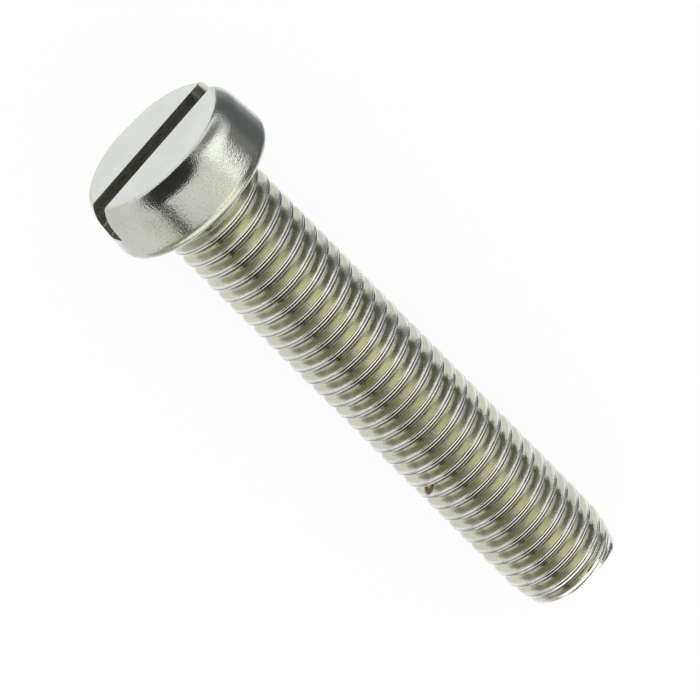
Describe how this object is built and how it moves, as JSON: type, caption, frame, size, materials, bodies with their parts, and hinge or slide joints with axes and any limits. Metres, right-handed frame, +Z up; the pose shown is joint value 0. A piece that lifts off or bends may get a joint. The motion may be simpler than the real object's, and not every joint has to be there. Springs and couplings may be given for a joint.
{
  "type": "machine screw",
  "caption": "Slotted cheese head machine screw in plain steel, with a right-hand thread all the way up to the head, lying on its side.",
  "frame": {"origin": "on the ground under the middle of the screw's box as it lies at rest", "axes": "+X towards the tip along the ground, +Z up; the screw's own axis drops by 3.51 degrees from the head to the tip"},
  "size_m": [0.0558, 0.0154, 0.0155],
  "materials": {
    "steel": "satin stainless, bright on the flat top"
  },
  "bodies": {
    "root": {"screw": "steel"}
  },
  "joints": []
}
